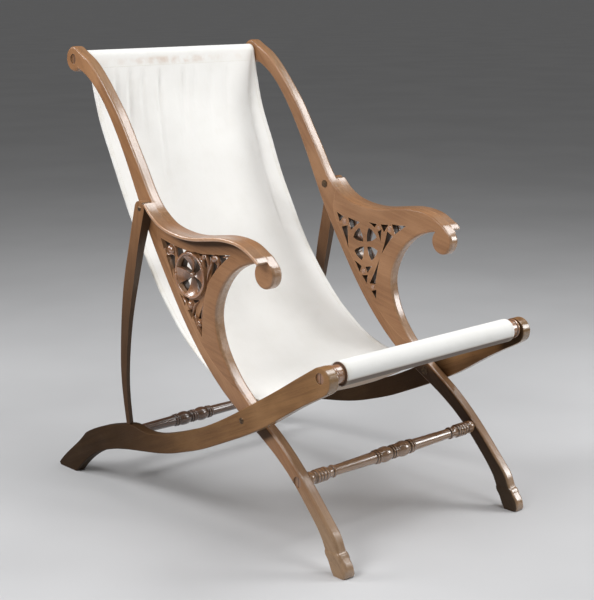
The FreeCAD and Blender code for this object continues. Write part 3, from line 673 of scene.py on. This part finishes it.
# Slack all over: its waves across and down the sheet, where its noise starts, and its height
SLACK = [(9.0, 11.0, 2.3, 0.0022), (26.0, 21.0, 7.1, 0.0007)]


def crease_rise(across, half, hung, share):
    """How far the cloth stands up from its plain sag, from its creases, pleats and slack."""
    rise = 0.0
    for place, wide, long, deep in CREST_CREASES:
        below = hung - SEAM_HUNG
        fade = max(0.0, 1.0 - below / long) * min(1.0, max(0.0, (below - CREASE_FROM) / CREASE_RAMP))
        rise -= deep * fade * math.exp(-((across - place + CREASE_SLANT * below) / wide) ** 2)
    inset = np.interp(hung, PLEAT[:, 0], PLEAT[:, 1])
    deep = np.interp(hung, PLEAT[:, 0], PLEAT[:, 2])
    for side, way in SIDES:
        out = way * across - (half - inset)
        if out < 0:
            dip = math.exp(-(out / PLEAT_SHARP) ** 2)
        else:
            dip = max(0.0, 1.0 - out / inset) ** 1.2
        rise -= deep * PLEAT_SHARE[side] * dip
    slack = 0.0
    for waves, folds, start, high in SLACK:
        slack += noise.noise(Vector((across * waves, share * folds, start))) * high
    return rise + slack * min(1.0, 12.0 * share * (1.0 - share))


def cloth_point(row, across, drop):
    """A point of the cloth: a row of the route, a place from -1 to 1 across, and a distance below it."""
    share = min(1.0, max(0.0, (row - first_hung) / (last_hung - first_hung)))
    half = TOP_HALF + (SEAT_HALF - TOP_HALF) * share - DRAW_IN * math.sin(math.pi * share)
    x = across * half
    fall = drop + SEAT_DISH * math.sin(math.pi * share ** DISH_SKEW) ** 2 * (1 - across ** 2)
    if first_hung < row < last_hung:
        fall -= crease_rise(x, half, route_run[row] - route_run[first_hung], share)
    y, z = route[row]
    if row > last_wrapped:
        start = route[last_wrapped]
        y, z = start + (route[row] - start) * (FLAP_SHARE - FLAP_SLANT * across)
    down = (-route_way[row][1], route_way[row][0])
    return (x, y + down[0] * fall, z + down[1] * fall)


def settle(piece, modifier):
    """Turns what a piece's one modifier makes into its plain mesh."""
    bpy.context.view_layer.update()
    plain = bpy.data.meshes.new_from_object(piece.evaluated_get(bpy.context.evaluated_depsgraph_get()))
    piece.modifiers.remove(modifier)
    piece.data = plain


def cloth_patch(name, rows, columns, drop, thick):
    """A sheet over some rows of the route and places across, with its cut in metres as its UV map."""
    data = bpy.data.meshes.new(name)
    wide = len(columns)
    spots = [cloth_point(row, across, drop) for row in rows for across in columns]
    faces = []
    for i in range(len(rows) - 1):
        for j in range(wide - 1):
            low = i * wide + j
            faces.append((low, low + wide, low + wide + 1, low + 1))
    data.from_pydata(spots, [], faces)
    cut = data.uv_layers.new(name="cut")
    flat = [(columns[j] * TOP_HALF, route_run[row]) for row in rows for j in range(wide)]
    for loop in data.loops:
        cut.data[loop.index].uv = flat[loop.vertex_index]
    data.materials.append(canvas.block)
    data.shade_smooth()
    piece = show(name, data)
    wall = piece.modifiers.new("thickness", "SOLIDIFY")
    wall.thickness = thick
    wall.offset = 0.0
    wall.use_even_offset = True
    settle(piece, wall)
    piece.data.name = name
    return piece


THREAD = 0.0011
CLOTH_PALE = (0.850, 0.843, 0.812)
CLOTH_GREY = (0.795, 0.785, 0.745)
SLUB_STRAW = (0.70, 0.67, 0.59)
SEAM_STAIN = (0.56, 0.40, 0.29)
# Painted shade under the seat roll
ROLL_UNDERSIDE_SHADE = (0.12, 0.08, 0.055)
# Painted shade on the underside of the belly
BELLY_UNDERSIDE_SHADE = (0.46, 0.33, 0.23)
HAND_STAIN = (0.60, 0.53, 0.40)
canvas = Finish(bpy.data.materials.new("cotton duck"))
cut_place = canvas.node("TexCoord", out="UV")
cut_across, cut_along = canvas.axes(cut_place)[:2]
canvas_spot = canvas.node("TexCoord", out="Object")


def canvas_cloud(size, detail=4.0):
    return canvas.speckle(canvas_spot, size, detail)


weave = (cut_across * (math.pi / THREAD)).wave() * (cut_along * (math.pi / THREAD)).wave()
slub = canvas.speckle(cut_place, (0.0015, 0.030, 1.0))
grey = canvas_cloud(0.060).between(0.40, 0.75)
cloth_colour = canvas.mix(grey * 0.5, CLOTH_PALE, CLOTH_GREY)
cloth_colour = canvas.mix(slub.between(0.55, 0.75) * 0.2, cloth_colour, SLUB_STRAW)
crest_run = float(route_run[first_hung])
near_seam = cut_along.near(crest_run + 0.013, 0.002, 0.013)
mid_width = 1.0 - abs(cut_across + 0.01).between(0.02, 0.17)
soiled = near_seam * (0.25 + 0.75 * mid_width) * canvas_cloud(0.028).between(0.35, 0.70)
cloth_colour = canvas.mix(soiled * 0.55, cloth_colour, SEAM_STAIN)
# A painted shade along the underside of the seat roll
roll_shade_from, roll_shade_to = np.interp(UNDER_ROLL, seat_turns, route_run[last_hung:last_wrapped + 1])
roll_shade_half = float(roll_shade_to - roll_shade_from) / 2
roll_shade = cut_along.near(float(roll_shade_from) + roll_shade_half, roll_shade_half - 0.003, roll_shade_half)
cloth_colour = canvas.mix(roll_shade * 0.92, cloth_colour, ROLL_UNDERSIDE_SHADE)
# The downward faces of the belly are painted a shaded brown, a painted shade
below = canvas.facing()[2].between(-0.15, -0.60) * cut_along.between(crest_run + 0.55, crest_run + 0.75)
cloth_colour = canvas.mix(below * (1 - roll_shade) * 0.85, cloth_colour, BELLY_UNDERSIDE_SHADE)
handled = abs(cut_across).between(TOP_HALF - 0.016, TOP_HALF) * canvas_cloud(0.05).between(0.40, 0.70)
cloth_colour = canvas.mix(handled * 0.35, cloth_colour, HAND_STAIN)
cloth_height = weave * 0.35 + slub * 0.8 + canvas_cloud(0.009, 5.0) * 1.2
canvas.feed(canvas.shader, {
    "Base Color": cloth_colour,
    "Roughness": 0.82 + 0.10 * slub,
    "Normal": canvas.node("Bump", {}, {"Strength": 0.30, "Distance": 0.0006, "Height": cloth_height}),
    "Sheen Weight": 0.15,
    "Specular IOR Level": 0.25,
})

# Distances from the edge at which the sheet is divided, close together at the hem and the pleat
EDGE_STEPS = [0.0, 0.003, 0.006, 0.009, 0.012, 0.016, 0.020, 0.024, 0.028, 0.032, 0.036, 0.041, 0.047,
              0.054]
near_edge = [1 - step / TOP_HALF for step in EDGE_STEPS]
inner = list(np.linspace(-near_edge[-1], near_edge[-1], 121)[1:-1])
columns = [-c for c in near_edge] + inner + near_edge[::-1]
sling = cloth_patch("canvas_sling", range(len(route)), columns, 0.0, CLOTH_THICK)
hem_columns = [c for c in near_edge if c >= 1 - HEM_WIDE / TOP_HALF]
hems = []
for side, way in SIDES:
    places = [way * c for c in hem_columns]
    hung_rows = range(first_hung, last_hung + 1)
    hems.append(cloth_patch(side + "_side_hem", hung_rows, places, HEM_DROP, HEM_THICK))

# The stitching: white cotton thread in short straight stitches along both side hems and across the crest
# seam, each stitch pulled a little into the cloth.
STITCH_PITCH = 0.0045
STITCH_LONG = 0.0032
STITCH_R = 0.00045
STITCH_INSET = 0.0095
# Stitches lie above the middle of the cloth, just proud of its face
STITCH_DROP = -0.0009
THREAD_DARK = (0.66, 0.62, 0.53)
THREAD_PALE = (0.80, 0.77, 0.69)
thread = Finish(bpy.data.materials.new("cotton thread"))
twist = thread.speckle(thread.node("TexCoord", out="Object"), 0.0007)
thread.feed(thread.shader, {
    "Base Color": thread.mix(twist.between(0.35, 0.65), THREAD_DARK, THREAD_PALE),
    "Roughness": 0.70 + 0.15 * twist,
})


def stitch_tree():
    """Stitches set along a line at an even pitch."""
    tree = bpy.data.node_groups.new("stitch line", "GeometryNodeTree")
    tree.interface.new_socket("Geometry", in_out="INPUT", socket_type="NodeSocketGeometry")
    for name in ("Pitch", "Length", "Radius"):
        tree.interface.new_socket(name, in_out="INPUT", socket_type="NodeSocketFloat")
    tree.interface.new_socket("Thread", in_out="INPUT", socket_type="NodeSocketMaterial")
    tree.interface.new_socket("Geometry", in_out="OUTPUT", socket_type="NodeSocketGeometry")

    def add(kind, **settings):
        made = tree.nodes.new(kind)
        for key, value in settings.items():
            setattr(made, key, value)
        return made

    def join(source, out, target, into):
        tree.links.new(source.outputs[out], target.inputs[into])

    given = add("NodeGroupInput")
    line = add("GeometryNodeMeshToCurve")
    even = add("GeometryNodeResampleCurve", mode="LENGTH")
    ball = add("GeometryNodeMeshUVSphere")
    ball.inputs["Segments"].default_value = 6
    ball.inputs["Rings"].default_value = 4
    half = add("ShaderNodeMath", operation="DIVIDE")
    half.inputs[1].default_value = 2.0
    size = add("ShaderNodeCombineXYZ")
    shape = add("GeometryNodeTransform")
    tangent = add("GeometryNodeInputTangent")
    turn = add("FunctionNodeAlignRotationToVector", axis="Z")
    spread = add("GeometryNodeInstanceOnPoints")
    real = add("GeometryNodeRealizeInstances")
    paint = add("GeometryNodeSetMaterial")
    result = add("NodeGroupOutput")
    join(given, "Geometry", line, "Mesh")
    join(line, "Curve", even, "Curve")
    join(given, "Pitch", even, "Length")
    join(given, "Length", half, 0)
    join(given, "Radius", size, "X")
    join(given, "Radius", size, "Y")
    join(half, 0, size, "Z")
    join(ball, "Mesh", shape, "Geometry")
    join(size, "Vector", shape, "Scale")
    join(tangent, "Tangent", turn, "Vector")
    join(even, "Curve", spread, "Points")
    join(shape, "Geometry", spread, "Instance")
    join(turn, "Rotation", spread, "Rotation")
    join(spread, "Instances", real, "Geometry")
    join(real, "Geometry", paint, "Geometry")
    join(given, "Thread", paint, "Material")
    join(paint, "Geometry", result, "Geometry")
    return tree


def stitched(name, lines):
    """One piece of thread for some lines of points."""
    data = bpy.data.meshes.new(name)
    spots = []
    edges = []
    for line in lines:
        start = len(spots)
        spots += line
        edges += [(start + i, start + i + 1) for i in range(len(line) - 1)]
    data.from_pydata(spots, edges, [])
    piece = show(name, data)
    rows = piece.modifiers.new("stitches", "NODES")
    rows.node_group = stitch_tree()
    values = {"Pitch": STITCH_PITCH, "Length": STITCH_LONG, "Radius": STITCH_R, "Thread": thread.block}
    for socket in rows.node_group.interface.items_tree:
        if socket.in_out == "INPUT" and socket.name in values:
            rows[socket.identifier] = values[socket.name]
    settle(piece, rows)
    piece.data.shade_smooth()
    return piece


stitch_lines = []
for side, way in SIDES:
    across = way * (1 - STITCH_INSET / TOP_HALF)
    hem_rows = range(first_hung, last_hung - 2)
    stitch_lines.append([cloth_point(row, across, STITCH_DROP) for row in hem_rows])
seam_row = first_hung + int(np.searchsorted(route_run[first_hung:last_hung], crest_run + SEAM_HUNG))
seam_places = np.linspace(-0.985, 0.985, 80)
stitch_lines.append([cloth_point(seam_row, across, STITCH_DROP) for across in seam_places])
stitches = stitched("sling_stitches", stitch_lines)

for piece in [sling, stitches] + hems:
    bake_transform(piece)
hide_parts("sling_back", "sling_seat")

# The studio: a plain pale floor of paper that goes out to the horizon, under five soft lamps, seen from
# the sitter's right front.
FLOOR_R = 300.0
FLOOR_GREY = (0.56, 0.56, 0.565)
FLOOR_PALE = (0.60, 0.60, 0.605)
floor_mesh = bmesh.new()
bmesh.ops.create_circle(floor_mesh, cap_ends=True, segments=96, radius=FLOOR_R)
floor_finish = Finish(bpy.data.materials.new("floor paper"))
floor_cloud = floor_finish.speckle(floor_finish.node("TexCoord", out="Object"), 0.8)
floor_finish.feed(floor_finish.shader, {
    "Base Color": floor_finish.mix(floor_cloud.between(0.3, 0.7), FLOOR_GREY, FLOOR_PALE),
    "Roughness": 0.75 + 0.1 * floor_cloud,
})
floor = new_piece("floor", floor_mesh, floor_finish.block)

LAMP_COLOUR = (0.985, 0.99, 1.0)
# Each lamp: its place, what it points at, its width and height, and its watts
LAMPS = {
    "key": ((1.45, -0.7, 2.33), (0.0, 0.0, 0.5), (1.1, 1.1), 25.0),
    "top": ((0.25, -1.4, 3.0), (0.0, -0.2, 0.45), (1.2, 1.0), 28.0),
    "fill": ((-2.6, -0.10, 2.6), (0.0, 0.0, 0.45), (1.6, 1.4), 62.0),
    "right": ((2.0, -1.8, 1.25), (0.0, -0.2, 0.35), (0.7, 0.9), 19.0),
    "back": ((-1.45, 1.75, 1.9), (0.0, -0.1, 0.45), (0.8, 0.7), 24.0),
}
for name, (place, aim, size, watts) in LAMPS.items():
    light = bpy.data.lights.new(name, "AREA")
    light.shape = "RECTANGLE"
    light.size, light.size_y = size
    light.energy = watts
    light.color = LAMP_COLOUR
    lamp = show(name, light)
    lamp.location = place
    lamp.rotation_euler = (Vector(aim) - Vector(place)).to_track_quat("-Z", "Y").to_euler()

# The room behind the floor lights the chair evenly, and looks a little darker than that light
ROOM_LIGHT = 0.17
ROOM_SEEN = 0.10
bpy.context.scene.world = bpy.data.worlds.new("studio")
room = Finish(bpy.context.scene.world, "Background")
rays = ("Is Camera Ray", "Is Glossy Ray", "Is Transmission Ray")
direct, glossy, through = [room.node("LightPath", out=ray) for ray in rays]
seen = direct.most(glossy).most(through)
room.feed(room.shader, {
    "Color": (1.0, 1.0, 1.0, 1.0),
    "Strength": ROOM_LIGHT + (ROOM_SEEN - ROOM_LIGHT) * seen,
})

CAMERA_PLACE = Vector((-1.9649, -2.1868, 1.0838))
CAMERA_AIM = Vector((0.1387, 0.1080, 0.3828))
CAMERA_ROLL = math.radians(-0.32)
ahead = (CAMERA_AIM - CAMERA_PLACE).normalized()
level_right = ahead.cross(Vector((0, 0, 1))).normalized()
level_up = level_right.cross(ahead)
right = level_right * math.cos(CAMERA_ROLL) + level_up * math.sin(CAMERA_ROLL)
up = level_up * math.cos(CAMERA_ROLL) - level_right * math.sin(CAMERA_ROLL)
lens = bpy.data.cameras.new("camera")
lens.lens = 83.4
lens.sensor_width = 36.0
lens.clip_end = 1000.0
camera = show("camera", lens)
camera.matrix_world = Matrix.Translation(CAMERA_PLACE) @ Matrix((right, up, -ahead)).transposed().to_4x4()
bpy.context.scene.camera = camera
bpy.context.scene.view_settings.view_transform = "Standard"
